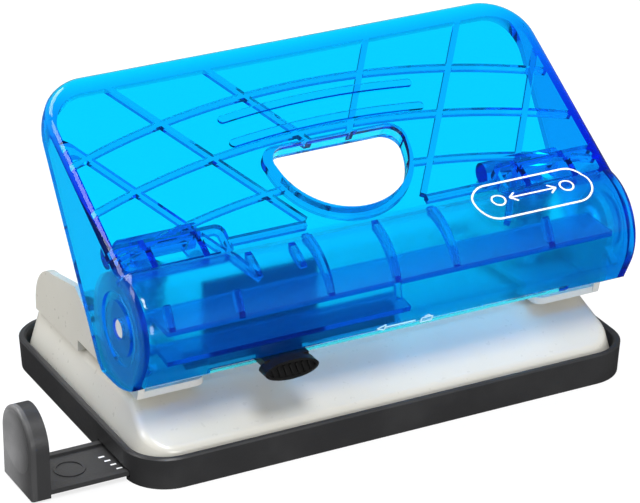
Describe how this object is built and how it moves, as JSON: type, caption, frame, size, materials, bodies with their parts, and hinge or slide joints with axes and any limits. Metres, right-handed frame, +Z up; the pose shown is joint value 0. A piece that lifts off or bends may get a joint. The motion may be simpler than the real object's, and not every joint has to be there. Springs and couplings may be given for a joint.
{
  "type": "two-hole paper punch",
  "caption": "Desk paper punch with a raised clear handle over two sprung punches, a folded steel frame, a chip tray, a lock slider and a sliding paper guide.",
  "frame": {"origin": "centre of the tray's underside, on the desk", "axes": "+X along the length towards the end away from the paper guide, +Y from the paper entry to the back, +Z up"},
  "size_m": [0.12, 0.063, 0.0605],
  "materials": {
    "tray_black": "satin black moulded plastic",
    "guide_black": "satin black moulded plastic",
    "cream_steel": "cream enamel, semi-gloss",
    "die_steel": "hardened, plain",
    "pin_steel": "bright zinc plate",
    "punch_steel": "ground and hardened",
    "fastener_steel": "zinc plate",
    "spring_steel": "bright wire",
    "blue_shell": "clear blue moulded plastic, polished",
    "lock_black": "satin black moulded plastic"
  },
  "bodies": {
    "tray": {"base_tray": "tray_black"},
    "punch_frame": {"base_plate": "cream_steel", "left_die": "die_steel", "right_die": "die_steel", "left_bracket": "cream_steel", "right_bracket": "cream_steel", "left_bracket_rivets": "cream_steel", "right_bracket_rivets": "cream_steel", "left_pivot_pin": "pin_steel", "right_pivot_pin": "pin_steel"},
    "handle": {"handle_shell": "blue_shell"},
    "left_punch_unit": {"left_punch": "punch_steel", "left_punch_clip": "fastener_steel", "left_spring_washer": "fastener_steel", "left_return_spring": "spring_steel"},
    "right_punch_unit": {"right_punch": "punch_steel", "right_punch_clip": "fastener_steel", "right_spring_washer": "fastener_steel", "right_return_spring": "spring_steel"},
    "lock": {"lock_slider": "lock_black"},
    "guide": {"paper_guide": "guide_black"}
  },
  "joints": [
    {"name": "tray_release", "type": "slide", "parent": "tray", "child": "punch_frame", "axis": [0, 0, 1], "range_m": [0, 0.03]},
    {"name": "handle_press", "type": "hinge", "parent": "punch_frame", "child": "handle", "pos_m": [0, -0.0203, 0.0282], "axis": [1, 0, 0], "range_deg": [-25, 0], "stiffness_Nm_per_rad": 0.5, "springref_deg": 25.78},
    {"name": "left_punch_slide", "type": "slide", "parent": "punch_frame", "child": "left_punch_unit", "axis": [0, 0, -1], "range_m": [0, 0.006], "deforming": ["left_return_spring"]},
    {"name": "right_punch_slide", "type": "slide", "parent": "punch_frame", "child": "right_punch_unit", "axis": [0, 0, -1], "range_m": [0, 0.006], "deforming": ["right_return_spring"]},
    {"name": "lock_slide", "type": "slide", "parent": "handle", "child": "lock", "axis": [-1, 0, 0], "range_m": [0, 0.0075]},
    {"name": "guide_slide", "type": "slide", "parent": "tray", "child": "guide", "axis": [-1, 0, 0], "range_m": [-0.0136, 0.07]}
  ],
  "couplings": [
    {"joint": "left_punch_slide", "follows": "handle_press", "m_per_rad": -0.013588},
    {"joint": "right_punch_slide", "follows": "handle_press", "m_per_rad": -0.013588}
  ]
}
